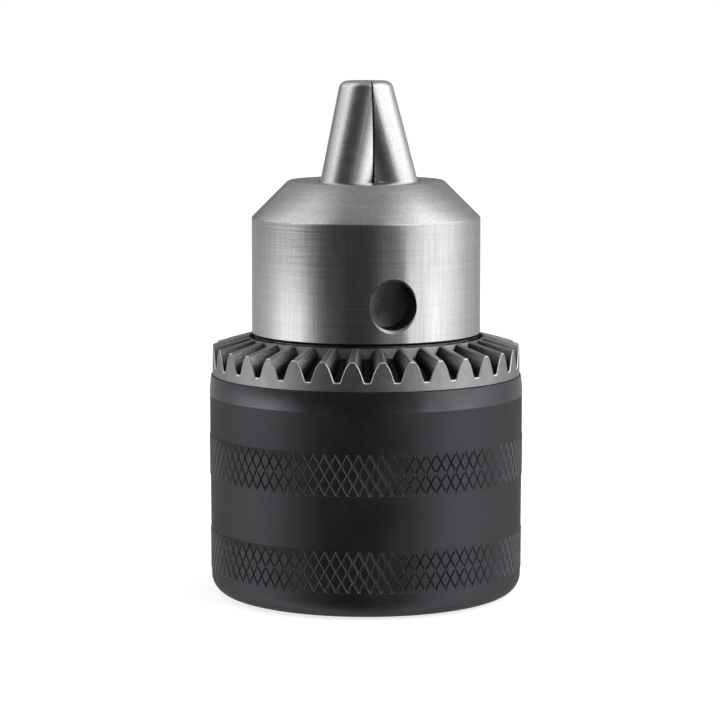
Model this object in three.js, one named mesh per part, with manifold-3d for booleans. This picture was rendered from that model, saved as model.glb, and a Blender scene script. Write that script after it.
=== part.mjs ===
// Keyed three-jaw drill chuck. Millimetres, +Z from the rear face to the nose.
// The origin is the centre of the rear face; one key hole faces -Y. Jaws stand closed.
import * as THREE from 'three';
import { mergeVertices } from 'three/addons/utils/BufferGeometryUtils.js';
import Module from 'manifold-3d';

const wasm = await Module();
wasm.setup();

// ---- driving dimensions ----
const FIT = 0.3;            // clearance between neighbouring pieces
const ROUND = 72;           // facets on the large turned pieces
const HELIX_STEPS = 36;     // steps per turn of the thread

const SLEEVE_R = 26.5;      // largest radius, at the lower edge of the sleeve's cone band
const LOW_DRAFT = 0.2;      // radius lost from there down to the rear rounding
const BAND_TAPER = 0.27;    // radius lost from there up to the seam
const BAND_H = 3.35;        // height of the cone band
const SEAM_Z = 37.4;        // seam between gear ring and sleeve
const SLEEVE_WALL = 1.7;
const SLEEVE_REAR_Z = 0.1;
const REAR_ROUND = 3.3;
const REAR_LAND = 1.8;      // flat ring from the rear rounding in to the spigot's gap
const REAR_H = 4.9;         // height of the body's rear spigot, which the sleeve's lip goes round

const GEAR_FACE = 6.7;      // from the gear's rim in to the bright nose cylinder of the body
const NOSE_Z = 70.1;        // flat nose face
const CONE_RISE = 6.15;     // height and width of the 45 degree nose cone
const RELIEF = 0.4;         // step in the nose cylinder just above the gear ring
const RELIEF_RISE = 0.5;    // height of that step over the tooth tips
const HUB_PLAY = 0.4;       // running gap between the hub and the sleeve
const NECK_PLAY = 0.3;      // between the neck and the nut's thread
const EDGE = 0.5;           // chamfer on the body's turned edges
const BORE_PLAY = 0.25;     // throat radius over the largest shank
const WEB = 8.5;            // metal between the taper socket and the throat
const SOCKET_R = 7.87;      // B16 taper socket at the rear face
const SOCKET_DEPTH = 24.0;
const SOCKET_TAPER = 0.025; // radius lost per mm of depth
const KNOCKOUT_R = 3.0;     // hole through that web
const THROAT_POINT = 1.8;   // depth of the drill point at the bottom of the throat

const KEY_R = 4.0;          // pilot hole for the chuck key
const KEY_DEPTH = 6.4;
const KEY_CHAMFER = 0.5;
const KEY_POINT = 1.2;      // drill point below the hole's wall
const KEY_RISE = 8.3;       // key axis over the tooth tips at the rim

const JAW_R = 4.64;
const JAW_REACH = 16.7;     // closed jaw tips over the nose face
const TIP_OFFSET = -0.56;   // jaw axis from the chuck axis at tip height
const TIP_BREAK = 1.0;      // 45 degree break round the end of the closed jaws
const GRIP_FLAT = 0.45;     // narrow land on each gripping edge, from the chuck axis
const CAPACITY_R = 6.5;     // half of the largest shank
const TAIL_CHAMFER = 0.8;

const PITCH = 2.8;          // thread of nut and jaws
const THREAD_DEPTH = 1.1;
const THREAD_HALF = 0.6;    // half width of the nut's ridge where it meets the jaw
const THREAD_SLANT = 0.35;  // half width lost to the crest of the ridge
const THREAD_ROOT = 0.8;    // how far the cutting form stands out of the jaw's surface
const THREAD_RUN = 1.5;     // thread on the jaws beyond what the nut ever reaches

const RACE_T = 1.2;
const RACE_W = 3.4;
const SEAT_PLAY = 0.4;      // between the bearing's bore and its seat
const BALL_R = 1.2;
const BALLS = 24;
const CAGE_T = 1.0;

const NUT_WALL = 3.5;       // nut wall beside its thread, at its foot
const SPIGOT_WALL = 1.5;    // gear ring wall between the nut and the sleeve
const SPIGOT_H = 2.7;       // how far that wall goes down into the sleeve
const TEETH = 33;
const FIRST_SLOT = -92.1;   // azimuth of the first tooth space, degrees
const GEAR_SET_IN = 0.5;    // gear ring radius under the sleeve's
const GEAR_PLAY = 0.5;      // gear bore over the nose cylinder
const GEAR_H = 4.9;         // tooth tips over the seam, at the rim
const TIP_SLOPE = 0.27;     // rise of the tooth tips per mm inwards
const TIP_CORNER = 0.6;     // break at the outer end of the tooth tips
const CORNER_BOW = 0.18;    // how far in the middle of that rounded break lies
const TOOTH_H = 3.4;        // tooth height at the rim
const SLOT_ROOT = 1.1;      // tooth space width at the root, at the rim
const SLOT_TOP = 3.6;       // tooth space width at the tips, at the rim
const SLOT_NARROW = 0.05;   // share of its width that a tooth space loses per mm inwards
const ROOT_SLOPE = 0.57;    // rise of the tooth roots per mm inwards
const SLOT_STOP = 0.6;      // rim left between the bore and the floor of a tooth space
const SLOT_LEAN = 0.2;      // how much nearer the bore the stop is at the tips
const GEAR_FLOOR = 1.3;     // metal under the tooth spaces

// ---- sizes that follow from them ----
const SLEEVE_LOW_R = SLEEVE_R - LOW_DRAFT;
const SLEEVE_TOP_R = SLEEVE_R - BAND_TAPER;
const SLEEVE_BORE = SLEEVE_LOW_R - SLEEVE_WALL;
const LIP_BORE = SLEEVE_LOW_R - REAR_ROUND - REAR_LAND;
const REAR_R = LIP_BORE - FIT;
const HUB_R = SLEEVE_BORE - HUB_PLAY;
const GEAR_R = SLEEVE_R - GEAR_SET_IN;
const NOSE_R = GEAR_R - GEAR_FACE;
const GEAR_BORE = NOSE_R + GEAR_PLAY;
const SPIGOT_R = SLEEVE_BORE - FIT;
const NUT_R = SPIGOT_R - SPIGOT_WALL - FIT;
const GEAR_TIP_Z = SEAM_Z + GEAR_H;
const KEY_Z = GEAR_TIP_Z + KEY_RISE;
const tipZ = (r) => GEAR_TIP_Z + TIP_SLOPE * (GEAR_R - r);
const rootZ = (r) => GEAR_TIP_Z - TOOTH_H + ROOT_SLOPE * (GEAR_R - r);
const roofZ = (r) => rootZ(r) - GEAR_FLOOR;

const NUT_Z = SEAM_Z - SPIGOT_H;
const SEAT_TOP_Z = NUT_Z - FIT;
const UPPER_RACE_Z = SEAT_TOP_Z - RACE_T;
const BALL_Z = UPPER_RACE_Z - FIT - BALL_R;
const LOWER_RACE_Z = BALL_Z - BALL_R - FIT - RACE_T;
const SHOULDER_Z = LOWER_RACE_Z - FIT;
const RACE_IN = HUB_R - RACE_W;
const SEAT_R = RACE_IN - SEAT_PLAY;
const CAGE_IN = SEAT_R + FIT;
const BALL_RING_R = (CAGE_IN + SPIGOT_R) / 2;

// the jaws lean so that their outer edges run NUT_WALL inside the nut at its foot
const TIP_Z = NOSE_Z + JAW_REACH;
const nutEdge = NUT_R - NUT_WALL - FIT - TIP_OFFSET;
const JAW_TILT = Math.atan2(nutEdge, TIP_Z - NUT_Z)
  - Math.asin(JAW_R / Math.hypot(nutEdge, TIP_Z - NUT_Z));
const TAN = Math.tan(JAW_TILT);
const TRAVEL = CAPACITY_R / Math.sin(JAW_TILT);
const JAW_SPAN = JAW_R / Math.cos(JAW_TILT);
const TAIL_Z = TIP_Z - (HUB_R - CAPACITY_R - JAW_SPAN - TIP_OFFSET) / TAN;
const JAW_LENGTH = (TIP_Z - TAIL_Z) / Math.cos(JAW_TILT) + 2 * JAW_R;
const jawAxisR = (z) => TIP_OFFSET + TAN * (TIP_Z - z);
const jawEdgeR = (z) => jawAxisR(z) + JAW_SPAN;
const nutBoreR = (z) => jawEdgeR(z) + FIT;

// where the nut's sloping top meets its bore
let nutTopR = NUT_R;
for (let i = 0; i < 20; i++) nutTopR = nutBoreR(roofZ(nutTopR) - FIT);
const NUT_TOP_Z = roofZ(nutTopR) - FIT;
const NECK_R = jawEdgeR(NUT_TOP_Z) - THREAD_DEPTH - NECK_PLAY;
const THREAD_FOOT_Z = TAIL_Z - 2 * PITCH;
const THREAD_TOP_Z = NUT_TOP_Z + CAPACITY_R / TAN + THREAD_RUN;
const THROAT_R = CAPACITY_R + BORE_PLAY;
const THROAT_Z = SOCKET_DEPTH + WEB;

// ---- materials ----
const metal = (color, roughness) =>
  new THREE.MeshStandardMaterial({ color, roughness, metalness: 1 });
const BRIGHT = metal(0xb8babc, 0.3);
const HARD = metal(0xa6a8aa, 0.25);
const DULL = metal(0x77797b, 0.55);
const BLACK = metal(0x26282b, 0.45);

// ---- helpers ----
function solid(geometry) {
  geometry.deleteAttribute('normal');
  geometry.deleteAttribute('uv');
  const g = mergeVertices(geometry, 1e-5);
  const p = g.attributes.position.array;
  const index = g.index.array;
  const tris = [];
  let volume = 0;
  for (let i = 0; i < index.length; i += 3) {
    const [a, b, c] = [index[i], index[i + 1], index[i + 2]];
    if (a === b || b === c || c === a) continue;
    tris.push(a, b, c);
    const [A, B, C] = [a, b, c].map((k) => new THREE.Vector3().fromArray(p, 3 * k));
    volume += A.dot(B.cross(C));
  }
  if (volume < 0) tris.reverse();
  return new wasm.Manifold(new wasm.Mesh({
    numProp: 3, vertProperties: Float32Array.from(p), triVerts: Uint32Array.from(tris),
  }));
}

function node(name, body, material) {
  const m = body.getMesh();
  const g = new THREE.BufferGeometry();
  g.setAttribute('position', new THREE.BufferAttribute(Float32Array.from(m.vertProperties), 3));
  g.setIndex(Array.from(m.triVerts));
  g.computeVertexNormals();
  const mesh = new THREE.Mesh(g, material);
  mesh.name = name;
  return mesh;
}

const latheGeometry = (points, facets) =>
  new THREE.LatheGeometry(points.map(([r, z]) => new THREE.Vector2(r, z)), facets)
    .rotateX(Math.PI / 2);
const turned = (points, facets = ROUND) => solid(latheGeometry(points, facets));
const ring = (points, facets) => turned([...points, points[0]], facets);
const flatRing = (inner, outer, z0, z1) =>
  ring([[inner, z0], [outer, z0], [outer, z1], [inner, z1]]);

function prism(points, z0, z1) {
  const shape = new THREE.Shape(points.map(([x, y]) => new THREE.Vector2(x, y)));
  const g = new THREE.ExtrudeGeometry(shape, { depth: z1 - z0, bevelEnabled: false });
  return solid(g.translate(0, 0, z0));
}

// a piece turned about the jaw axis in the XZ plane; heights run along it from the tail
const turnedOnJawAxis = (points, facets) => solid(latheGeometry(points, facets)
  .rotateY(-JAW_TILT).translate(jawAxisR(TAIL_Z), 0, TAIL_Z));

// a helical bar on the cone of the jaws' outer edges; section is [offset from edge, dz]
function helix(section, z0, z1) {
  const steps = Math.round(((z1 - z0) / PITCH) * HELIX_STEPS);
  const n = section.length;
  const pos = [];
  const tris = [];
  for (let i = 0; i <= steps; i++) {
    const turn = (i / HELIX_STEPS) * 2 * Math.PI;
    const zc = z0 + (i / HELIX_STEPS) * PITCH;
    for (const [offset, dz] of section) {
      const r = jawEdgeR(zc + dz) + offset;
      pos.push(r * Math.cos(turn), r * Math.sin(turn), zc + dz);
    }
  }
  for (let i = 0; i < steps; i++) {
    for (let k = 0; k < n; k++) {
      const [a, b] = [i * n + k, i * n + ((k + 1) % n)];
      tris.push(a, b, b + n, a, b + n, a + n);
    }
  }
  const end = steps * n;
  for (let k = 1; k < n - 1; k++) {
    tris.push(0, k + 1, k, end, end + k, end + k + 1);
  }
  const g = new THREE.BufferGeometry();
  g.setAttribute('position', new THREE.Float32BufferAttribute(pos, 3));
  g.setIndex(tris);
  return solid(g);
}

// ---- chuck body ----
function bodyBlank() {
  const socketEnd = SOCKET_R - SOCKET_TAPER * SOCKET_DEPTH;
  const collar = NUT_TOP_Z + FIT;
  const relief = tipZ(GEAR_BORE) + RELIEF_RISE;
  return ring([
    [SOCKET_R + EDGE, 0], [REAR_R - EDGE, 0], [REAR_R, EDGE], [REAR_R, REAR_H],
    [HUB_R - EDGE, REAR_H], [HUB_R, REAR_H + EDGE], [HUB_R, SHOULDER_Z],
    [SEAT_R, SHOULDER_Z], [SEAT_R, SEAT_TOP_Z], [NECK_R, SEAT_TOP_Z],
    [NECK_R, collar], [NOSE_R - RELIEF, collar], [NOSE_R - RELIEF, relief - RELIEF],
    [NOSE_R, relief], [NOSE_R, NOSE_Z - CONE_RISE],
    [NOSE_R - CONE_RISE, NOSE_Z], [THROAT_R, NOSE_Z], [THROAT_R, THROAT_Z],
    [KNOCKOUT_R, THROAT_Z - THROAT_POINT], [KNOCKOUT_R, SOCKET_DEPTH + EDGE],
    [socketEnd, SOCKET_DEPTH], [SOCKET_R, EDGE],
  ]);
}

// pilot hole with a drill point and a small chamfer, along -Y
function keyHole() {
  const floor = NOSE_R - KEY_DEPTH;
  const rim = NOSE_R - KEY_CHAMFER;
  const mouth = NOSE_R + KEY_R;
  const g = latheGeometry([
    [0, floor - KEY_POINT], [KEY_R, floor], [KEY_R, rim],
    [KEY_R + mouth - rim, mouth], [0, mouth],
  ], 48);
  return solid(g.rotateX(Math.PI / 2).translate(0, 0, KEY_Z));
}

function chuckBody() {
  let body = bodyBlank();
  for (const turn of [0, 120, 240]) {
    const from = -TRAVEL - TAIL_CHAMFER;
    const bore = turnedOnJawAxis([[0, from], [JAW_R + FIT, from],
      [JAW_R + FIT, JAW_LENGTH], [0, JAW_LENGTH]], 48);
    body = body.subtract(bore.rotate([0, 0, 90 + turn]));
    body = body.subtract(keyHole().rotate([0, 0, turn]));
  }
  return body;
}

// ---- jaws ----
function jawBlank() {
  const bar = turnedOnJawAxis([[0, 0], [JAW_R - TAIL_CHAMFER, 0], [JAW_R, TAIL_CHAMFER],
    [JAW_R, JAW_LENGTH], [0, JAW_LENGTH]], 40);
  const low = TAIL_Z - JAW_R;
  const far = 2 * SLEEVE_R;
  const breakR = jawEdgeR(TIP_Z) - TIP_BREAK;
  const breakZ = TIP_Z - (far - breakR);
  const ends = turned([[0, Math.min(low, breakZ - 1)], [far, Math.min(low, breakZ - 1)],
    [far, breakZ], [breakR, TIP_Z], [0, TIP_Z]]);
  return bar.intersect(ends);
}

// the two flanks at 60 degrees either side of the jaw, with a narrow land between
function gripWedge() {
  const s = Math.sqrt(3);
  const apex = FIT / s;
  const far = 2 * SLEEVE_R;
  const half = (x) => (x - apex) * s;
  return prism([[GRIP_FLAT, -half(GRIP_FLAT)], [far, -half(far)],
    [far, half(far)], [GRIP_FLAT, half(GRIP_FLAT)]], TAIL_Z - JAW_R, TIP_Z + 1);
}

// section of the thread form, grown by a clearance, reaching some way out of the jaw's edge
function threadForm(grow, reach) {
  const crest = THREAD_HALF - THREAD_SLANT + grow;
  const slope = THREAD_SLANT / THREAD_DEPTH;
  const root = THREAD_HALF + slope * reach + grow;
  return [[-THREAD_DEPTH - grow, -crest], [reach, -root], [reach, root],
    [-THREAD_DEPTH - grow, crest]];
}

function jaws() {
  const blank = jawBlank().intersect(gripWedge());
  const thread = helix(threadForm(FIT, THREAD_ROOT), THREAD_FOOT_Z, THREAD_TOP_Z);
  return [90, 210, 330].map((turn) => blank.rotate([0, 0, turn]).subtract(thread));
}

// ---- split nut ----
function nut() {
  const topAt = (r) => roofZ(r) - FIT;
  const blank = ring([[nutBoreR(NUT_Z), NUT_Z], [NUT_R, NUT_Z],
    [NUT_R, topAt(NUT_R)], [nutTopR, NUT_TOP_Z]]);
  const ridge = helix(threadForm(0, 2 * FIT), THREAD_FOOT_Z, NUT_TOP_Z + 2 * PITCH);
  const level = ring([[NECK_R, NUT_Z], [NUT_R, NUT_Z],
    [NUT_R, topAt(NUT_R)], [nutTopR, NUT_TOP_Z], [NECK_R, NUT_TOP_Z]]);
  return blank.add(ridge.intersect(level));
}

function nutHalves() {
  const whole = nut();
  const span = 2 * NUT_R;
  const side = prism([[FIT / 2, -span], [span, -span], [span, span], [FIT / 2, span]],
    NUT_Z - 1, NUT_TOP_Z + 1);
  return [whole.intersect(side), whole.intersect(side.rotate([0, 0, 180]))];
}

// ---- thrust bearing ----
function cage() {
  let body = flatRing(CAGE_IN, SPIGOT_R, BALL_Z - CAGE_T / 2, BALL_Z + CAGE_T / 2);
  for (let i = 0; i < BALLS; i++) {
    const pocket = new THREE.CylinderGeometry(BALL_R + FIT, BALL_R + FIT, 2 * CAGE_T, 12)
      .rotateX(Math.PI / 2).translate(BALL_RING_R, 0, BALL_Z);
    body = body.subtract(solid(pocket).rotate([0, 0, (360 / BALLS) * i]));
  }
  return body;
}

const ball = (i) => solid(new THREE.SphereGeometry(BALL_R, 10, 6)
  .rotateX(Math.PI / 2).translate(BALL_RING_R, 0, BALL_Z))
  .rotate([0, 0, (360 / BALLS) * i]);

// ---- bevel gear ring ----
// the space between two teeth: it runs out over the rim and stops short of the bore
function gearSlot() {
  const flare = (SLOT_TOP - SLOT_ROOT) / TOOTH_H;
  const over = 1;
  const stop = GEAR_BORE + SLOT_STOP;
  const pos = [];
  for (const [low, high] of [[stop, stop - SLOT_LEAN], [1.1 * GEAR_R, 1.1 * GEAR_R]]) {
    const k = 1 - SLOT_NARROW * (GEAR_R - low);
    const wide = SLOT_TOP + flare * over;
    pos.push([low, -k * SLOT_ROOT / 2, rootZ(low)], [low, k * SLOT_ROOT / 2, rootZ(low)],
      [high, k * wide / 2, tipZ(high) + over], [high, -k * wide / 2, tipZ(high) + over]);
  }
  const g = new THREE.BufferGeometry();
  g.setAttribute('position', new THREE.Float32BufferAttribute(pos.flat(), 3));
  g.setIndex([0, 2, 1, 0, 3, 2, 4, 5, 6, 4, 6, 7, 0, 1, 5, 0, 5, 4,
    1, 2, 6, 1, 6, 5, 2, 3, 7, 2, 7, 6, 3, 0, 4, 3, 4, 7]);
  return solid(g);
}

function gearRing() {
  const nutBore = NUT_R + FIT;
  const flange = SEAM_Z + FIT / 2;
  let body = ring([
    [nutBore, NUT_Z], [SPIGOT_R, NUT_Z], [SPIGOT_R, flange],
    [GEAR_R - FIT, flange], [GEAR_R, flange + FIT],
    [GEAR_R, GEAR_TIP_Z - TIP_CORNER],
    [GEAR_R - CORNER_BOW, GEAR_TIP_Z - CORNER_BOW],
    [GEAR_R - TIP_CORNER, tipZ(GEAR_R - TIP_CORNER)], [GEAR_BORE, tipZ(GEAR_BORE)],
    [GEAR_BORE, roofZ(GEAR_BORE)], [nutBore, roofZ(nutBore)],
  ], 3 * TEETH);
  const slot = gearSlot();
  for (let i = 0; i < TEETH; i++) {
    body = body.subtract(slot.rotate([0, 0, FIRST_SLOT + (360 / TEETH) * i]));
  }
  return body;
}

// ---- knurled sleeve ----
function sleeve() {
  const arc = [];
  const steps = 6;
  for (let i = 0; i <= steps; i++) {
    const t = (Math.PI / 2 / steps) * i;
    arc.push([SLEEVE_LOW_R - REAR_ROUND * (1 - Math.sin(t)),
      SLEEVE_REAR_Z + REAR_ROUND * (1 - Math.cos(t))]);
  }
  const top = SEAM_Z - FIT / 2;
  return ring([[LIP_BORE, SLEEVE_REAR_Z], ...arc, [SLEEVE_R, SEAM_Z - BAND_H],
    [SLEEVE_TOP_R, top], [SLEEVE_BORE, top], [SLEEVE_BORE, REAR_H - FIT],
    [LIP_BORE, REAR_H - FIT]]);
}

// ---- assembly ----
const chuck = new THREE.Group();
chuck.name = 'drill_chuck';
chuck.add(node('chuck_body', chuckBody(), BRIGHT));
jaws().forEach((jaw, i) => chuck.add(node(`jaw_${i + 1}`, jaw, HARD)));
nutHalves().forEach((half, i) => chuck.add(node(`nut_half_${i + 1}`, half, DULL)));
chuck.add(node('gear_ring', gearRing(), DULL));
chuck.add(node('knurled_sleeve', sleeve(), BLACK));
chuck.add(node('lower_race', flatRing(RACE_IN, HUB_R, LOWER_RACE_Z, LOWER_RACE_Z + RACE_T), HARD));
chuck.add(node('upper_race', flatRing(RACE_IN, HUB_R, UPPER_RACE_Z, SEAT_TOP_Z), HARD));
chuck.add(node('ball_cage', cage(), DULL));
for (let i = 0; i < BALLS; i++) {
  chuck.add(node(`ball_${String(i + 1).padStart(2, '0')}`, ball(i), HARD));
}

export default chuck;
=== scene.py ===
import math

import bmesh
import bpy
from mathutils import Matrix, Vector


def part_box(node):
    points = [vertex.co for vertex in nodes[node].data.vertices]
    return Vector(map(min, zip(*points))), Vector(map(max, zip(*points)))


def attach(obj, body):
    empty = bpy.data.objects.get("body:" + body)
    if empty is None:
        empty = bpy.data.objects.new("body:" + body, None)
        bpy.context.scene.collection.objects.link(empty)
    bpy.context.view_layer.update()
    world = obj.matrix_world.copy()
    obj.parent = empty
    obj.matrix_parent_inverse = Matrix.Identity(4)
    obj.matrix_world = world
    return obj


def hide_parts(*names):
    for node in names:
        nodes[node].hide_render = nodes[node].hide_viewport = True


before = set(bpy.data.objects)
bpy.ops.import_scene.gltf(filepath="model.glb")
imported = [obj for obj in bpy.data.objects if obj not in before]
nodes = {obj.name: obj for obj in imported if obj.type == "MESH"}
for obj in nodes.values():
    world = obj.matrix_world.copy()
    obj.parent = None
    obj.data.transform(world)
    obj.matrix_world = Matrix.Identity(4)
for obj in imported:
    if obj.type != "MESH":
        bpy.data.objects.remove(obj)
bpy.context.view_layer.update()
MM = 0.001

# ---------------------------------------------------------------------------------------
# Chuck body. One piece of bar steel, turned bright on the nose and cone, then drilled for
# the three sloping jaws and cross-drilled for the chuck key. It carries everything else.
# ---------------------------------------------------------------------------------------
nose_radius = 19.3 * MM
nose_top = 70.1 * MM
cone_rise = 6.15 * MM
hub_radius = 24.2 * MM
rear_radius = 20.9 * MM
rear_height = 4.9 * MM
shoulder_height = 28.7 * MM
seat_radius = 20.4 * MM
seat_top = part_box("upper_race")[1].z
neck_radius = 15.13 * MM
collar_foot = 42.827 * MM
relief_height = 44.47 * MM
relief_depth = 0.4 * MM
throat_radius = 6.75 * MM
throat_floor = 32.5 * MM
socket_radius = 7.87 * MM
socket_end_radius = 7.27 * MM
socket_depth = 24.0 * MM
knockout_radius = 3.0 * MM

key_radius = 4.0 * MM
key_height = 50.6 * MM
key_depth = 6.4 * MM
key_chamfer = 0.5 * MM
key_point = 1.2 * MM

jaw_radius = 4.64 * MM
jaw_tilt = math.radians(15.496)
jaw_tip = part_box("jaw_1")[1].z
jaw_tip_offset = -0.56 * MM
jaw_tail = 38.307 * MM
jaw_travel = 24.329 * MM
jaw_azimuths = [math.radians(a) for a in (90, 210, 330)]
bore_clearance = 0.3 * MM


def clear_selection():
    bpy.ops.object.select_all(action="DESELECT")


def draw_outline(name, points):
    """A chain of edges in the XZ plane, drawn by extruding one vertex from point to point."""
    clear_selection()
    bpy.ops.mesh.primitive_plane_add(size=MM)
    piece = bpy.context.object
    piece.name = name
    piece.data.name = name
    bpy.ops.object.mode_set(mode="EDIT")
    bpy.ops.mesh.merge(type="CENTER")
    bpy.ops.transform.translate(value=(points[0][0], 0, points[0][1]))
    for (x0, z0), (x1, z1) in zip(points, points[1:]):
        bpy.ops.mesh.extrude_vertices_move(TRANSFORM_OT_translate={"value": (x1 - x0, 0, z1 - z0)})
    return piece


def weld_and_leave():
    bpy.ops.mesh.select_all(action="SELECT")
    bpy.ops.mesh.remove_doubles(threshold=0.003 * MM)
    bpy.ops.mesh.normals_make_consistent(inside=False)
    bpy.ops.object.mode_set(mode="OBJECT")


def turn_outline(name, points, steps, closed=True):
    """The outline of (radius, height) points, turned once round the chuck axis."""
    piece = draw_outline(name, points + points[:1] if closed else points)
    bpy.ops.mesh.select_all(action="SELECT")
    bpy.ops.mesh.spin(steps=steps, angle=math.tau, center=(0, 0, 0), axis=(0, 0, 1))
    weld_and_leave()
    return piece


def arc(centre, radius, start, end, count):
    """Points of a round corner, angles in degrees from +X towards +Z."""
    turns = [math.radians(start + (end - start) * i / count) for i in range(count + 1)]
    return [(centre[0] + radius * math.cos(t), centre[1] + radius * math.sin(t)) for t in turns]


def apply_change(piece, kind, **settings):
    clear_selection()
    bpy.context.view_layer.objects.active = piece
    piece.select_set(True)
    change = piece.modifiers.new(kind.lower(), kind)
    for key, value in settings.items():
        setattr(change, key, value)
    bpy.ops.object.modifier_apply(modifier=change.name)


def cut(piece, cutter):
    apply_change(piece, "BOOLEAN", operation="DIFFERENCE", solver="EXACT", object=cutter)
    bpy.data.objects.remove(cutter)


def fix_place(piece):
    clear_selection()
    bpy.context.view_layer.objects.active = piece
    piece.select_set(True)
    bpy.ops.object.transform_apply(location=True, rotation=True, scale=True)


def smooth_by_angle(piece, degrees):
    clear_selection()
    bpy.context.view_layer.objects.active = piece
    piece.select_set(True)
    bpy.ops.object.shade_smooth_by_angle(angle=math.radians(degrees))


def jaw_axis_point(along):
    """A point on the jaw's axis in the XZ plane, a distance along it from the tail."""
    radius = jaw_tip_offset + math.tan(jaw_tilt) * (jaw_tip - jaw_tail)
    return Vector((radius - along * math.sin(jaw_tilt), 0, jaw_tail + along * math.cos(jaw_tilt)))


def jaw_rod(name, radius, start, end, vertices):
    clear_selection()
    bpy.ops.mesh.primitive_cylinder_add(
        vertices=vertices, radius=radius, depth=end - start,
        location=jaw_axis_point((start + end) / 2), rotation=(0, -jaw_tilt, 0))
    rod = bpy.context.object
    rod.name = name
    fix_place(rod)
    return rod


def turn_about_axis(piece, angle):
    piece.matrix_world = Matrix.Rotation(angle, 4, "Z")
    fix_place(piece)


def principled(name):
    material = bpy.data.materials.new(name)
    material.use_nodes = True
    return material, material.node_tree.nodes, material.node_tree.links


def shader_of(tree_nodes):
    return tree_nodes["Principled BSDF"]


def math_node(tree_nodes, links, operation, first, second=None):
    step = tree_nodes.new("ShaderNodeMath")
    step.operation = operation
    for socket, value in zip(step.inputs, (first, second)):
        if value is None:
            continue
        if isinstance(value, (int, float)):
            socket.default_value = value
        else:
            links.new(value, socket)
    return step.outputs[0]


def lathe_coordinates(tree_nodes, links):
    """Radius and height on the piece, in metres, and the place itself."""
    place = tree_nodes.new("ShaderNodeTexCoord").outputs["Object"]
    split = tree_nodes.new("ShaderNodeSeparateXYZ")
    links.new(place, split.inputs[0])
    x2 = math_node(tree_nodes, links, "MULTIPLY", split.outputs[0], split.outputs[0])
    y2 = math_node(tree_nodes, links, "MULTIPLY", split.outputs[1], split.outputs[1])
    radius = math_node(tree_nodes, links, "SQRT", math_node(tree_nodes, links, "ADD", x2, y2))
    return radius, split.outputs[2], place


def noise(tree_nodes, links, place, scale, detail=2.0, roughness=0.5):
    texture = tree_nodes.new("ShaderNodeTexNoise")
    texture.inputs["Scale"].default_value = scale
    texture.inputs["Detail"].default_value = detail
    texture.inputs["Roughness"].default_value = roughness
    links.new(place, texture.inputs["Vector"])
    return texture.outputs["Fac"]


def remap(tree_nodes, links, value, low, high, to_low, to_high):
    step = tree_nodes.new("ShaderNodeMapRange")
    links.new(value, step.inputs["Value"])
    names = ("From Min", "From Max", "To Min", "To Max")
    for name, number in zip(names, (low, high, to_low, to_high)):
        step.inputs[name].default_value = number
    return step.outputs[0]


def ramp(tree_nodes, links, value, stops):
    step = tree_nodes.new("ShaderNodeValToRGB")
    links.new(value, step.inputs["Fac"])
    elements = step.color_ramp.elements
    while len(elements) < len(stops):
        elements.new(0.5)
    for element, (place, colour) in zip(elements, stops):
        element.position = place
        element.color = (*colour, 1)
    return step.outputs["Color"]


def bump(tree_nodes, links, height, distance, strength=1.0, under=None):
    step = tree_nodes.new("ShaderNodeBump")
    step.inputs["Strength"].default_value = strength
    step.inputs["Distance"].default_value = distance
    links.new(height, step.inputs["Height"])
    if under is not None:
        links.new(under, step.inputs["Normal"])
    return step.outputs["Normal"]


def turned_steel():
    """Bright steel with the fine rings a turning tool leaves, so it shines in upright bands."""
    material, tree, links = principled("turned_steel")
    radius, height, place = lathe_coordinates(tree, links)
    section = tree.new("ShaderNodeCombineXYZ")
    links.new(radius, section.inputs[0])
    links.new(height, section.inputs[2])
    drift = noise(tree, links, place, 40)
    links.new(math_node(tree, links, "MULTIPLY", drift, 0.002), section.inputs[1])
    fine = noise(tree, links, section.outputs[0], 6500, detail=3, roughness=0.7)
    broad = noise(tree, links, section.outputs[0], 900, detail=2)
    stretch = tree.new("ShaderNodeMapping")
    stretch.inputs["Scale"].default_value = (1, 1, 0.05)
    links.new(place, stretch.inputs[0])
    upright = noise(tree, links, stretch.outputs[0], 2200, detail=3, roughness=0.6)
    shader = shader_of(tree)
    shader.inputs["Metallic"].default_value = 1
    shader.inputs["Anisotropic"].default_value = 0.75
    shader.inputs["Anisotropic Rotation"].default_value = 0.25
    tangent = tree.new("ShaderNodeTangent")
    tangent.direction_type = "RADIAL"
    tangent.axis = "Z"
    links.new(tangent.outputs[0], shader.inputs["Tangent"])
    mix = math_node(tree, links, "ADD", math_node(tree, links, "MULTIPLY", fine, 0.65),
                    math_node(tree, links, "MULTIPLY", broad, 0.35))
    tone = math_node(tree, links, "ADD", math_node(tree, links, "MULTIPLY", mix, 0.55),
                     math_node(tree, links, "MULTIPLY", upright, 0.45))
    links.new(ramp(tree, links, tone, [(0.33, (0.56, 0.56, 0.565)), (0.67, (0.8, 0.8, 0.805))]),
              shader.inputs["Base Color"])
    links.new(remap(tree, links, fine, 0.3, 0.7, 0.17, 0.28), shader.inputs["Roughness"])
    links.new(bump(tree, links, mix, 0.003 * MM, 0.5), shader.inputs["Normal"])
    return material


def drilled_steel_painted_shade():
    """A drilled wall, scored round the hole, in a dark base colour that is painted shade, with random darker and
    lighter patches.
    """
    material, tree, links = principled("drilled_steel_painted_shade")
    place = tree.new("ShaderNodeTexCoord").outputs["Object"]
    patchy_tone = noise(tree, links, place, 420, detail=4, roughness=0.6)
    score = noise(tree, links, place, 5200, detail=2)
    shader = shader_of(tree)
    shader.inputs["Metallic"].default_value = 1
    links.new(ramp(tree, links, patchy_tone, [(0.3, (0.12, 0.118, 0.115)), (0.7, (0.32, 0.315, 0.31))]),
              shader.inputs["Base Color"])
    links.new(remap(tree, links, patchy_tone, 0.3, 0.7, 0.3, 0.5), shader.inputs["Roughness"])
    links.new(bump(tree, links, score, 0.012 * MM, 0.7), shader.inputs["Normal"])
    return material


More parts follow.
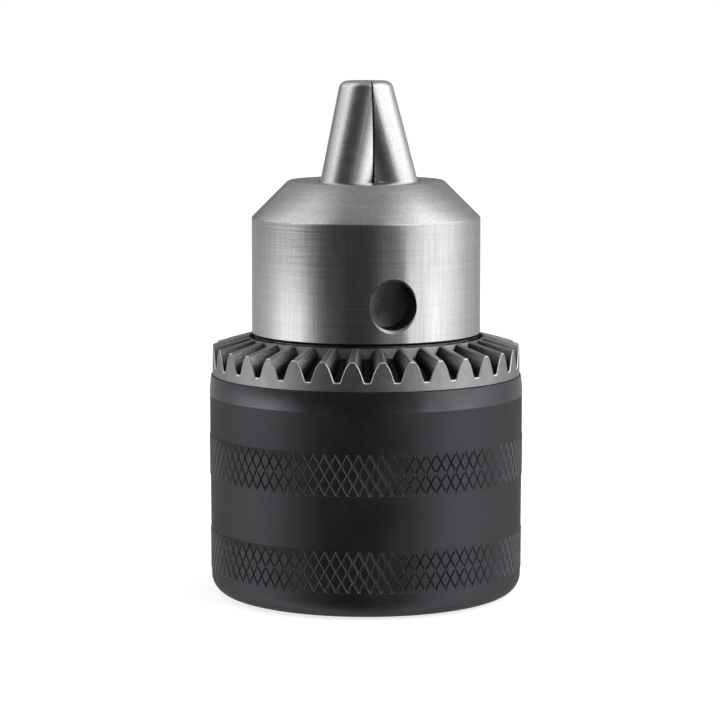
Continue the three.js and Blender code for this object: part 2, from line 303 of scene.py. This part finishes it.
def key_hole_cutter(azimuth):
    """The shape of the drill that makes a key hole: point, wall and a flared mouth."""
    floor = nose_radius - key_depth
    rim = nose_radius - key_chamfer
    mouth = nose_radius + 2 * MM
    cutter = turn_outline("key_drill", [
        (0, floor - key_point), (key_radius, floor), (key_radius, rim),
        (key_radius + mouth - rim, mouth), (0, mouth)], 64, closed=False)
    cutter.matrix_world = (Matrix.Rotation(azimuth, 4, "Z") @ Matrix.Translation((0, 0, key_height))
                           @ Matrix.Rotation(math.pi / 2, 4, "Y"))
    fix_place(cutter)
    return cutter


body_edge = 0.35 * MM
cone_foot = nose_top - cone_rise
flat_radius = nose_radius - cone_rise
body = turn_outline("bright_chuck_body", [
    (socket_radius + 0.5 * MM, 0), (rear_radius - 0.6 * MM, 0), (rear_radius, 0.6 * MM),
    (rear_radius, rear_height), (hub_radius - 0.5 * MM, rear_height),
    (hub_radius, rear_height + 0.5 * MM), (hub_radius, shoulder_height - 0.3 * MM),
    (hub_radius - 0.3 * MM, shoulder_height), (seat_radius, shoulder_height),
    (seat_radius, seat_top), (neck_radius, seat_top), (neck_radius, collar_foot),
    (nose_radius - relief_depth, collar_foot),
    (nose_radius - relief_depth, relief_height - relief_depth),
    (nose_radius - 0.08 * MM, relief_height - 0.08 * MM), (nose_radius, relief_height + 0.06 * MM),
    (nose_radius, cone_foot - 0.12 * MM), (nose_radius - 0.03 * MM, cone_foot),
    (nose_radius - 0.1 * MM, cone_foot + 0.1 * MM),
    (flat_radius + 0.15 * MM, nose_top - 0.15 * MM), (flat_radius - 0.2 * MM, nose_top),
    (throat_radius + 0.3 * MM, nose_top), (throat_radius, nose_top - 0.3 * MM),
    (throat_radius, throat_floor), (knockout_radius, throat_floor - 1.8 * MM),
    (knockout_radius, socket_depth + 0.5 * MM), (socket_end_radius, socket_depth),
    (socket_radius, 0.5 * MM)], 180)
for azimuth in jaw_azimuths:
    bore = jaw_rod("jaw_bore", jaw_radius + bore_clearance,
                   -jaw_travel - 0.8 * MM, 45 * MM, 96)
    turn_about_axis(bore, azimuth)
    cut(body, bore)
    cut(body, key_hole_cutter(azimuth + math.pi))
smooth_by_angle(body, 25)
body.data.materials.append(turned_steel())
body.data.materials.append(drilled_steel_painted_shade())
# Painted shade: the key-hole walls and the relief under the nose, which sits down inside the gear ring, take the
# dark drilled material.
for face in body.data.polygons:
    radius, height = face.center.xy.length, face.center.z
    drilled = (radius < nose_radius - key_chamfer - 0.05 * MM
               and abs(height - key_height) < key_radius * 1.01)
    under_step = radius < nose_radius - 0.1 * MM and collar_foot - MM < height < relief_height
    face.material_index = int(drilled or under_step)
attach(body, "body")
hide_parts("chuck_body")

# ---------------------------------------------------------------------------------------
# Jaws. Three hardened round bars, each with a thread cut across its outer side and two
# flanks ground at the front, so that together they close on the middle of the chuck.
# ---------------------------------------------------------------------------------------
thread_pitch = 2.8 * MM
thread_depth = 1.4 * MM
thread_half_width = 0.9 * MM
thread_top = 66.5 * MM
tail_chamfer = 0.8 * MM
tip_round = 1.5 * MM
flank_gap = 0.15 * MM
grip_land = 0.45 * MM
edge_break = 0.28 * MM


def jaw_steel():
    """Hardened steel, satin from tumbling: fine pits that sparkle, and soft worn patches."""
    material, tree, links = principled("jaw_steel")
    place = tree.new("ShaderNodeTexCoord").outputs["Object"]
    grain = noise(tree, links, place, 4200, detail=3, roughness=0.65)
    patch = noise(tree, links, place, 500, detail=4, roughness=0.6)
    shader = shader_of(tree)
    shader.inputs["Metallic"].default_value = 1
    links.new(ramp(tree, links, grain, [(0.3, (0.66, 0.66, 0.67)), (0.7, (0.92, 0.92, 0.92))]),
              shader.inputs["Base Color"])
    links.new(remap(tree, links, patch, 0.3, 0.7, 0.22, 0.3), shader.inputs["Roughness"])
    links.new(bump(tree, links, grain, 0.012 * MM, 0.6), shader.inputs["Normal"])
    return material


def thread_cutter():
    """One long cone-shaped helix that touches all three jaws, as the nut's thread does."""
    turns = 12
    length = turns * thread_pitch
    foot = jaw_tail - 2 * thread_pitch
    edge = jaw_axis_point(0).x + jaw_radius / math.cos(jaw_tilt) + math.tan(jaw_tilt) * (jaw_tail - foot)
    top_edge = edge - math.tan(jaw_tilt) * length
    half = thread_half_width
    outline = [(-thread_depth, -half + 0.35 * MM), (0.8 * MM, -half - 0.25 * MM),
               (0.8 * MM, half + 0.25 * MM), (-thread_depth, half - 0.35 * MM)]
    clear_selection()
    steps = 48
    mesh = bpy.data.meshes.new("thread_cutter")
    made = bmesh.new()
    rings = []
    for i in range(turns * steps + 1):
        share = i / (turns * steps)
        angle = math.tau * i / steps
        ring = []
        for out, up in outline:
            z = foot + share * length + up
            r = edge + (top_edge - edge) * (z - foot) / length + out
            ring.append(made.verts.new((r * math.cos(angle), r * math.sin(angle), z)))
        rings.append(ring)
    for low, high in zip(rings, rings[1:]):
        for k in range(4):
            made.faces.new((low[k], low[(k + 1) % 4], high[(k + 1) % 4], high[k]))
    made.faces.new(rings[0][::-1])
    made.faces.new(rings[-1])
    bmesh.ops.recalc_face_normals(made, faces=made.faces)
    made.to_mesh(mesh)
    cutter = bpy.data.objects.new("thread_cutter", mesh)
    bpy.context.scene.collection.objects.link(cutter)
    return cutter


def jaw_end_form():
    """The turned shape that all three closed jaws share: a flat end with a round shoulder."""
    edge = jaw_tip_offset + jaw_radius / math.cos(jaw_tilt)
    centre = (edge - tip_round / math.cos(jaw_tilt) + tip_round * math.tan(jaw_tilt),
              jaw_tip - tip_round)
    shoulder = arc(centre, tip_round, math.degrees(jaw_tilt), 90, 7)
    reach = 45 * MM
    foot = shoulder[0][1] - 2 * (reach - shoulder[0][0])
    return turn_outline("jaw_end_form", [(0, foot - 5 * MM), (reach, foot - 5 * MM), (reach, foot)]
                        + shoulder + [(0, jaw_tip)], 180, closed=False)


def trim_flank(point, normal):
    bpy.ops.mesh.select_all(action="SELECT")
    bpy.ops.mesh.bisect(plane_co=point, plane_no=normal, use_fill=True, clear_inner=True)


def make_jaw(name):
    jaw = jaw_rod(name, jaw_radius, 0, 62 * MM, 128)
    bpy.ops.object.mode_set(mode="EDIT")
    made = bmesh.from_edit_mesh(jaw.data)
    tail = jaw_axis_point(0)
    bpy.ops.mesh.select_all(action="DESELECT")
    for edge in made.edges:
        edge.select = all((v.co - tail).length < jaw_radius * 1.01 for v in edge.verts)
    bmesh.update_edit_mesh(jaw.data)
    bpy.ops.mesh.bevel(offset=tail_chamfer, segments=1, affect="EDGES")
    bpy.ops.object.mode_set(mode="OBJECT")
    form = jaw_end_form()
    apply_change(jaw, "BOOLEAN", operation="INTERSECT", solver="EXACT", object=form)
    bpy.data.objects.remove(form)
    bpy.ops.object.mode_set(mode="EDIT")
    for side in (-1, 1):
        normal = Vector((math.sin(math.pi / 3), side * math.cos(math.pi / 3), 0))
        trim_flank(normal * flank_gap, normal)
    trim_flank((grip_land, 0, 0), (1, 0, 0))
    made = bmesh.from_edit_mesh(jaw.data)
    made.normal_update()
    bpy.ops.mesh.select_all(action="DESELECT")
    for edge in made.edges:
        if len(edge.link_faces) != 2:
            continue
        flats = [f for f in edge.link_faces
                 if abs(f.normal.z) < 0.01 and f.normal.x < -0.4 and f.calc_area() > 4 * MM * MM]
        edge.select = len(flats) == 1 and edge.calc_face_angle(0) > math.radians(8)
    bmesh.update_edit_mesh(jaw.data)
    bpy.ops.mesh.bevel(offset=edge_break, segments=2, affect="EDGES", clamp_overlap=True)
    weld_and_leave()
    return jaw


jaw_finish = jaw_steel()
for number, azimuth in enumerate(jaw_azimuths, 1):
    jaw = make_jaw(f"jaw_bar_{number}")
    turn_about_axis(jaw, azimuth)
    cut(jaw, thread_cutter())
    smooth_by_angle(jaw, 25)
    jaw.data.materials.append(jaw_finish)
    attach(jaw, f"jaw_{number}")
    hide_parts(f"jaw_{number}")

# ---------------------------------------------------------------------------------------
# Split nut and thrust bearing. The nut is made in two halves so that it can be laid round
# the neck of the body; the ball bearing under it takes the thrust of the closed jaws.
# ---------------------------------------------------------------------------------------


def plain_steel(name, light, rough):
    material, tree, links = principled(name)
    place = tree.new("ShaderNodeTexCoord").outputs["Object"]
    patch = noise(tree, links, place, 700, detail=4)
    shader = shader_of(tree)
    shader.inputs["Metallic"].default_value = 1
    low, high = light * 0.85, light * 1.1
    links.new(ramp(tree, links, patch, [(0.3, (low,) * 3), (0.7, (high,) * 3)]),
              shader.inputs["Base Color"])
    links.new(remap(tree, links, patch, 0.3, 0.7, rough * 0.8, rough * 1.2),
              shader.inputs["Roughness"])
    return material


nut_finish = plain_steel("machined_nut_steel", 0.42, 0.4)
race_finish = plain_steel("ground_race_steel", 0.6, 0.22)
cage_finish = plain_steel("pressed_cage_steel", 0.45, 0.35)
ball_finish = plain_steel("polished_ball_steel", 0.7, 0.08)
for name, node in nodes.items():
    if name.startswith("nut_half"):
        finish = nut_finish
    elif name.endswith("race"):
        finish = race_finish
    elif name == "ball_cage":
        finish = cage_finish
    elif name.startswith("ball_"):
        finish = ball_finish
    else:
        continue
    node.data.materials.clear()
    node.data.materials.append(finish)

# ---------------------------------------------------------------------------------------
# Gear ring. A pressed and sintered steel ring with straight bevel teeth for the chuck key;
# its flange sits on the sleeve and its spigot is pressed inside.
# ---------------------------------------------------------------------------------------
tooth_count = 33
gear_radius = 26.0 * MM
gear_tip = 42.3 * MM
tip_slope = 0.27
tooth_height = 3.4 * MM
slot_root = 1.1 * MM
slot_top = 3.9 * MM
slot_narrow = 0.05 / MM
root_slope = 0.57
slot_stop_radius = 20.2 * MM
ramp_lean = 0.22
worn_edge = 0.13 * MM
gear_floor = 1.3 * MM
gear_bore = 19.8 * MM
nut_bore = 22.8 * MM
spigot_radius = 24.3 * MM
spigot_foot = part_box("gear_ring")[0].z
flange_foot = 37.42 * MM
first_slot = math.radians(-92.1)


def gear_root_at(radius):
    return gear_tip - tooth_height + root_slope * (gear_radius - radius)


def gear_roof(radius):
    return gear_root_at(radius) - gear_floor


def gear_tip_at(radius):
    return gear_tip + tip_slope * (gear_radius - radius)


def gear_steel(name, light, rough, relief):
    """Matt grey sintered steel with a fine open grain."""
    material, tree, links = principled(name)
    place = tree.new("ShaderNodeTexCoord").outputs["Object"]
    grain = noise(tree, links, place, 5200, detail=3, roughness=0.65)
    patch = noise(tree, links, place, 420, detail=3)
    both = math_node(tree, links, "ADD", math_node(tree, links, "MULTIPLY", grain, 0.7),
                     math_node(tree, links, "MULTIPLY", patch, 0.3))
    shader = shader_of(tree)
    shader.inputs["Metallic"].default_value = 1
    low, high = light * 0.7, light * 1.25
    links.new(ramp(tree, links, both, [(0.32, (low, low, low * 0.98)),
                                       (0.68, (high, high, high * 0.99))]),
              shader.inputs["Base Color"])
    links.new(remap(tree, links, grain, 0.3, 0.7, rough * 0.85, rough * 1.1),
              shader.inputs["Roughness"])
    links.new(bump(tree, links, grain, relief, 0.8), shader.inputs["Normal"])
    return material


def tooth_space_steel():
    """Tooth sides in painted shade, nearly black at the root, with painted light towards the tips, broken up by a
    random grain.
    """
    material, tree, links = principled("tooth_space_painted_shade")
    radius, height, place = lathe_coordinates(tree, links)
    grain = noise(tree, links, place, 3000, detail=4, roughness=0.7)
    fall = math_node(tree, links, "MULTIPLY", radius, root_slope)
    above = math_node(tree, links, "ADD", height, fall)
    above = math_node(tree, links, "SUBTRACT", above, gear_root_at(0))
    above = math_node(tree, links, "DIVIDE", above, tooth_height)
    uneven = math_node(tree, links, "MULTIPLY", math_node(tree, links, "SUBTRACT", grain, 0.5), 0.9)
    # painted shade: the colour is darkest at the tooth root and lightens with height above it, up to painted light
    # near the tips
    painted_shade_level = math_node(tree, links, "ADD", above, uneven)
    shader = shader_of(tree)
    shader.inputs["Metallic"].default_value = 1
    links.new(ramp(tree, links, painted_shade_level, [(0.05, (0.02, 0.02, 0.02)), (0.35, (0.06, 0.06, 0.06)),
                                       (0.75, (0.3, 0.3, 0.295)), (1.0, (0.6, 0.6, 0.59))]),
              shader.inputs["Base Color"])
    shader.inputs["Roughness"].default_value = 0.42
    links.new(bump(tree, links, grain, 0.02 * MM, 0.8), shader.inputs["Normal"])
    return material


def slot_cutter():
    """The space between two teeth: a narrow round-cornered floor, bowed sides and a flare that
    rounds the tooth tips. It narrows inwards and runs up a short ramp before the bore."""
    half_root = slot_root / 2
    half_top = slot_top / 2
    side_bow = 0.16 * MM
    crest_round = 0.6 * MM
    root_round = 0.2 * MM
    slant = math.atan2(half_top - half_root, tooth_height)
    side = [(half_root - root_round, 0)]
    centre = (half_root - root_round, root_round)
    side += arc(centre, root_round, -90, -math.degrees(slant) * 0.5, 4)[1:]
    for share in (0.3, 0.5, 0.7):
        straight = half_root + (half_top - half_root) * share
        side.append((straight - side_bow * math.sin(math.pi * share), tooth_height * share))
    hub = (half_top + crest_round * (math.cos(slant) - 0.15), tooth_height - crest_round)
    side += arc(hub, crest_round, 180 - math.degrees(slant) * 1.3, 92, 7)
    side += [(side[-1][0] + 0.1 * MM, side[-1][1] + 0.6 * MM)]
    outline = [(-x, z) for x, z in side[::-1]] + side
    made = bmesh.new()
    loops = []
    for radius, grown in ((slot_stop_radius, 0), (gear_radius - worn_edge, 0),
                          (gear_radius + worn_edge, 2 * worn_edge), (1.08 * gear_radius, 2 * worn_edge)):
        root = gear_root_at(radius)
        stretch = (gear_tip_at(radius) - root) / tooth_height
        lean = ramp_lean if radius == slot_stop_radius else 0
        loop = []
        for index, (across, up) in enumerate(outline):
            before, after = outline[max(index - 1, 0)], outline[min(index + 1, len(outline) - 1)]
            away = Vector((after[1] - before[1], before[0] - after[0])).normalized() * grown
            loop.append(made.verts.new((
                radius - lean * up * stretch,
                across * (1 - slot_narrow * (gear_radius - radius)) + away.x,
                root + up * stretch + away.y)))
        loops.append(loop)
    for low, high in zip(loops, loops[1:]):
        for index in range(len(outline)):
            made.faces.new((low[index - 1], low[index], high[index], high[index - 1]))
    made.faces.new(loops[0])
    made.faces.new(loops[-1][::-1])
    bmesh.ops.recalc_face_normals(made, faces=made.faces)
    mesh = bpy.data.meshes.new("slot_cutter")
    made.to_mesh(mesh)
    cutter = bpy.data.objects.new("slot_cutter", mesh)
    bpy.context.scene.collection.objects.link(cutter)
    return cutter


gear = turn_outline("bevel_gear_ring", [
    (nut_bore, spigot_foot), (spigot_radius, spigot_foot), (spigot_radius, flange_foot),
    (gear_radius - 0.08 * MM, flange_foot), (gear_radius, flange_foot + 0.08 * MM),
    (gear_radius, gear_tip - 0.36 * MM)]
    + arc((gear_radius - 0.3 * MM, gear_tip - 0.28 * MM), 0.3 * MM, 5, 72, 4)
    + [(gear_bore + 0.15 * MM, gear_tip_at(gear_bore + 0.15 * MM)),
       (gear_bore, gear_tip_at(gear_bore) - 0.2 * MM),
       (gear_bore, gear_roof(gear_bore)), (nut_bore, gear_roof(nut_bore))], 198)
for index in range(tooth_count):
    slot = slot_cutter()
    turn_about_axis(slot, first_slot + index * math.tau / tooth_count)
    cut(gear, slot)
gear.data.materials.append(gear_steel("sintered_gear_steel", 0.4, 0.46, 0.012 * MM))
gear.data.materials.append(gear_steel("worn_tooth_edge", 0.98, 0.45, 0.004 * MM))
gear.data.materials.append(tooth_space_steel())
# Faces near the rim take the worn edge material; faces deeper in the tooth spaces take the painted-shade material.
for face in gear.data.polygons:
    middle, radius = face.center, face.center.xy.length
    above = middle.z - gear_root_at(radius)
    if above < -0.5 * MM or abs(face.normal.z) > 0.99:
        continue
    if gear_radius - 1.5 * worn_edge < radius < gear_radius - 0.2 * worn_edge:
        face.material_index = 1
    elif (slot_stop_radius < radius < gear_radius - worn_edge
            and middle.z < gear_tip_at(radius) - 0.45 * MM):
        face.material_index = 2
smooth_by_angle(gear, 30)
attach(gear, "sleeve")
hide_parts("gear_ring")

# ---------------------------------------------------------------------------------------
# Knurled sleeve. A turned steel shell, blackened, with a polished cone band at the top and
# two bands of diamond knurling rolled in for grip. It is pressed on the gear ring.
# ---------------------------------------------------------------------------------------
sleeve_radius = 26.5 * MM
sleeve_low_radius = 26.3 * MM
sleeve_top_radius = 26.23 * MM
band_foot = 34.05 * MM
sleeve_bore = 24.6 * MM
sleeve_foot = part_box("knurled_sleeve")[0].z
seam_foot = 37.38 * MM
lip_radius = 21.2 * MM
lip_height = 4.6 * MM
rear_round = 3.3 * MM

groove_count = 90
groove_slope = math.tan(math.radians(30))
groove_half = 0.16 * MM
groove_depth = 0.15 * MM
groove_end = 0.12 * MM
knurl_rise = 0.08 * MM
knurl_bands = [(4.45 * MM, 11.45 * MM), (20.4 * MM, 27.4 * MM)]


def black_oxide(name, light, rough):
    """Blackened steel: very dark, slightly blue, satin, with dust and fine rubbed spots."""
    material, tree, links = principled(name)
    radius, height, place = lathe_coordinates(tree, links)
    grain = noise(tree, links, place, 4200, detail=3, roughness=0.6)
    patch = noise(tree, links, place, 160, detail=5, roughness=0.6)
    shader = shader_of(tree)
    shader.inputs["Metallic"].default_value = 0.93
    low, high = light * 0.8, light * 1.25
    both = math_node(tree, links, "ADD", math_node(tree, links, "MULTIPLY", grain, 0.5),
                     math_node(tree, links, "MULTIPLY", patch, 0.5))
    links.new(ramp(tree, links, both, [(0.32, (low * 0.96, low * 0.97, low * 1.06)),
                                       (0.68, (high * 0.96, high * 0.97, high * 1.08))]),
              shader.inputs["Base Color"])
    links.new(remap(tree, links, patch, 0.3, 0.7, rough * 0.85, rough * 1.15),
              shader.inputs["Roughness"])
    links.new(bump(tree, links, grain, 0.006 * MM, 0.6), shader.inputs["Normal"])
    return material


def knurl_lines(band):
    """Each groove that crosses one repeat of the knurl: a point on it and its direction."""
    middle = (band[0] + band[1]) / 2
    width = math.tau * sleeve_radius / groove_count
    for lean in (-1, 1):
        for index in (-2, -1, 0, 1, 2):
            yield lean, index * width, middle


def groove_depth_at(across, height, band):
    """How deep the knurl is at a place on one repeat."""
    tilt = math.atan(groove_slope)
    nearest = min(abs((across - lean * groove_slope * (height - middle) - start) * math.cos(tilt))
                  for lean, start, middle in knurl_lines(band))
    edge = min(height - band[0], band[1] - height) / groove_end
    share = max(0.0, 1 - nearest / groove_half)
    return groove_depth * min(share, max(0.0, min(1.0, edge)))


rear_arc = arc((sleeve_low_radius - rear_round, sleeve_foot + rear_round), rear_round, -90, 0, 14)


def wall_radius(height):
    foot = sleeve_foot + rear_round
    share = (height - foot) / (band_foot - foot)
    return sleeve_low_radius + (sleeve_radius - sleeve_low_radius) * max(0.0, share)


outline = [(lip_radius, sleeve_foot + 0.2 * MM), (lip_radius + 0.2 * MM, sleeve_foot)]
outline += rear_arc[:-1]
outline += [(wall_radius(h), h) for low, high in knurl_bands
            for h in (low - 0.12 * MM, low, high, high + 0.12 * MM)]
outline += [(sleeve_radius - 0.03 * MM, band_foot - 0.2 * MM), (sleeve_radius, band_foot)]
outline += [(sleeve_radius - (sleeve_radius - sleeve_top_radius) * share ** 2,
             band_foot + (seam_foot - band_foot) * share) for share in (0.1, 0.3, 0.5, 0.75, 0.98)]
outline += [(sleeve_top_radius - 0.08 * MM, seam_foot), (sleeve_bore, seam_foot),
            (sleeve_bore, lip_height), (lip_radius, lip_height)]
repeat = math.tau / groove_count
sleeve = draw_outline("knurled_black_sleeve", outline + outline[:1])
bpy.ops.mesh.select_all(action="SELECT")
bpy.ops.mesh.spin(steps=1, angle=repeat, center=(0, 0, 0), axis=(0, 0, 1))
bpy.ops.mesh.select_all(action="SELECT")
bpy.ops.mesh.remove_doubles(threshold=0.003 * MM)
made = bmesh.from_edit_mesh(sleeve.data)
mean_angle = sum(math.atan2(v.co.y, v.co.x) for v in made.verts) / len(made.verts)
outward = Vector((math.cos(mean_angle), math.sin(mean_angle), 0))
sideways = Vector((-outward.y, outward.x, 0))
for band in knurl_bands:
    middle = (band[0] + band[1]) / 2
    cuts = [(Vector((0, 0, band[0] + groove_end)), Vector((0, 0, 1))),
            (Vector((0, 0, band[1] - groove_end)), Vector((0, 0, 1)))]
    for lean, start, height in knurl_lines(band):
        along = (sideways * lean * groove_slope + Vector((0, 0, 1))).normalized()
        across = along.cross(outward)
        for offset in (-groove_half, 0, groove_half):
            cuts.append((sideways * start + Vector((0, 0, height)) + across * offset, across))
    for point, normal in cuts:
        made = bmesh.from_edit_mesh(sleeve.data)
        bpy.ops.mesh.select_all(action="DESELECT")
        for face in made.faces:
            centre = face.calc_center_median()
            face.select = (band[0] < centre.z < band[1]
                           and Vector((centre.x, centre.y)).length > sleeve_bore + 0.5 * MM)
        bmesh.update_edit_mesh(sleeve.data)
        bpy.ops.mesh.bisect(plane_co=point, plane_no=normal)
made = bmesh.from_edit_mesh(sleeve.data)
for v in made.verts:
    flat = Vector((v.co.x, v.co.y, 0))
    true_radius = flat.dot(outward) / math.cos(repeat / 2)
    sink = 0.0
    for band in knurl_bands:
        if true_radius > sleeve_bore + 0.5 * MM and band[0] <= v.co.z <= band[1]:
            edge = min(v.co.z - band[0], band[1] - v.co.z) / groove_end
            sink = groove_depth_at(flat.dot(sideways), v.co.z, band) - knurl_rise * min(1, edge)
    v.co = flat.normalized() * (true_radius - sink) + Vector((0, 0, v.co.z))
bmesh.update_edit_mesh(sleeve.data)
bpy.ops.mesh.select_all(action="SELECT")
bpy.ops.mesh.spin(steps=groove_count - 1, dupli=True, angle=math.tau - repeat,
                  center=(0, 0, 0), axis=(0, 0, 1))
weld_and_leave()
sleeve.data.materials.append(black_oxide("black_oxide_satin", 0.064, 0.47))
sleeve.data.materials.append(black_oxide("black_oxide_polished", 0.11, 0.22))
sleeve.data.materials.append(black_oxide("black_oxide_rolled", 0.12, 0.3))
for face in sleeve.data.polygons:
    height, radius = face.center.z, face.center.xy.length
    in_band = any(low + groove_end < height < high - groove_end for low, high in knurl_bands)
    if in_band and sleeve_bore + MM < radius < wall_radius(height) + knurl_rise - 0.03 * MM:
        face.material_index = 2
    if face.center.z > band_foot and face.normal.z < 0.9 and face.center.xy.length > sleeve_bore + MM:
        face.material_index = 1
smooth_by_angle(sleeve, 28)
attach(sleeve, "sleeve")
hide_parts("knurled_sleeve")

# ---------------------------------------------------------------------------------------
# Studio. A pale floor, a soft surround that is bright at both sides and dark behind the
# camera, and a long lens a little above the chuck.
# ---------------------------------------------------------------------------------------
view_azimuth = math.radians(-90 - 13.4)
view_elevation = math.radians(6.92)
view_distance = 513 * MM
view_height = 39.6 * MM
view_aside = 1.02 * MM
lens_length = 151.3

clear_selection()
bpy.ops.mesh.primitive_circle_add(vertices=128, radius=1.5, fill_type="NGON", location=(0, 0, -0.02 * MM))
floor = bpy.context.object
floor.name = "studio_floor"
floor.visible_glossy = False
material, tree, links = principled("pale_floor")
shader = shader_of(tree)
shader.inputs["Base Color"].default_value = (0.9, 0.9, 0.9, 1)
shader.inputs["Roughness"].default_value = 0.9
shader.inputs["Emission Color"].default_value = (1, 1, 1, 1)
shader.inputs["Emission Strength"].default_value = 0.75
floor.data.materials.append(material)

world = bpy.data.worlds.new("soft_studio")
bpy.context.scene.world = world
world.use_nodes = True
tree, links = world.node_tree.nodes, world.node_tree.links
direction = tree.new("ShaderNodeTexCoord").outputs["Generated"]
split = tree.new("ShaderNodeSeparateXYZ")
links.new(direction, split.inputs[0])
turn = math_node(tree, links, "ARCTAN2", split.outputs[1], split.outputs[0])
from_camera = math_node(tree, links, "SUBTRACT", turn, view_azimuth - math.pi)
wrapped = math_node(tree, links, "FLOORED_MODULO", from_camera, math.tau)
share = math_node(tree, links, "DIVIDE", wrapped, math.tau)
# degrees to the right of the camera, and how bright the surround is there: the lit table
# below the horizon, the darker room just above it, and the light boxes that stand higher
table = [(-180, 0.36), (-140, 0.42), (-115, 0.66), (-92, 1.45), (-76, 1.5), (-68, 1.25), (-59, 0.75),
         (-50, 0.28), (-40, 0.12), (-15, 0.03), (8, 0.05), (20, 0.2), (40, 0.24), (44, 1.15), (58, 1.05), (72, 1.5),
         (90, 1.15), (118, 0.62), (145, 0.42), (180, 0.36)]
room = [(-180, 0.2), (-115, 0.28), (-85, 0.28), (-60, 0.1), (-40, 0.05), (0, 0.04), (30, 0.12),
        (45, 0.5), (60, 1.05), (90, 1.15), (120, 0.55), (180, 0.2)]
boxes = [(-180, 0.25), (-150, 0.35), (-132, 0.6), (-118, 1.0), (-100, 0.7), (-82, 1.15),
         (-72, 0.95), (-56, 0.2), (-38, 0.05), (0, 0.05), (14, 0.1), (28, 0.35), (44, 1.3),
         (85, 1.3), (102, 1.5), (115, 1.3), (128, 0.7), (150, 0.35), (180, 0.25)]


def around(profile):
    stops = [((degrees + 180) / 360, (light, light, light)) for degrees, light in profile]
    return ramp(tree, links, share, stops)


def blend_between(factor, first, second):
    mix = tree.new("ShaderNodeMix")
    mix.data_type = "RGBA"
    links.new(factor, mix.inputs["Factor"])
    for socket, value in zip((mix.inputs[6], mix.inputs[7]), (first, second)):
        if isinstance(value, tuple):
            socket.default_value = value
        else:
            links.new(value, socket)
    return mix.outputs[2]


rising = remap(tree, links, split.outputs[2], -0.06, 0.06, 0, 1)
higher = remap(tree, links, split.outputs[2], 0.2, 0.34, 0, 1)
overhead = remap(tree, links, split.outputs[2], 0.84, 0.98, 0, 1)
sides = blend_between(rising, around(table), around(room))
sides = blend_between(higher, sides, around(boxes))
light = blend_between(overhead, sides, (0.3, 0.3, 0.3, 1))
background = tree["Background"]
links.new(light, background.inputs["Color"])
seen = tree.new("ShaderNodeBackground")
seen.inputs["Color"].default_value = (1, 1, 1, 1)
ray = tree.new("ShaderNodeLightPath")
choose = tree.new("ShaderNodeMixShader")
links.new(ray.outputs["Is Camera Ray"], choose.inputs[0])
links.new(background.outputs[0], choose.inputs[1])
links.new(seen.outputs[0], choose.inputs[2])
links.new(choose.outputs[0], tree["World Output"].inputs["Surface"])
bpy.context.scene.view_settings.view_transform = "Standard"

lens = bpy.data.cameras.new("view")
lens.lens = lens_length
lens.clip_start = 0.01
camera = bpy.data.objects.new("view", lens)
bpy.context.scene.collection.objects.link(camera)
bpy.context.scene.camera = camera
back = Vector((math.cos(view_azimuth) * math.cos(view_elevation),
               math.sin(view_azimuth) * math.cos(view_elevation), math.sin(view_elevation)))
right = Vector((-math.sin(view_azimuth), math.cos(view_azimuth), 0))
aim = Vector((0, 0, view_height)) - right * view_aside
camera.location = aim + back * view_distance
camera.rotation_euler = (-back).to_track_quat("-Z", "Y").to_euler()
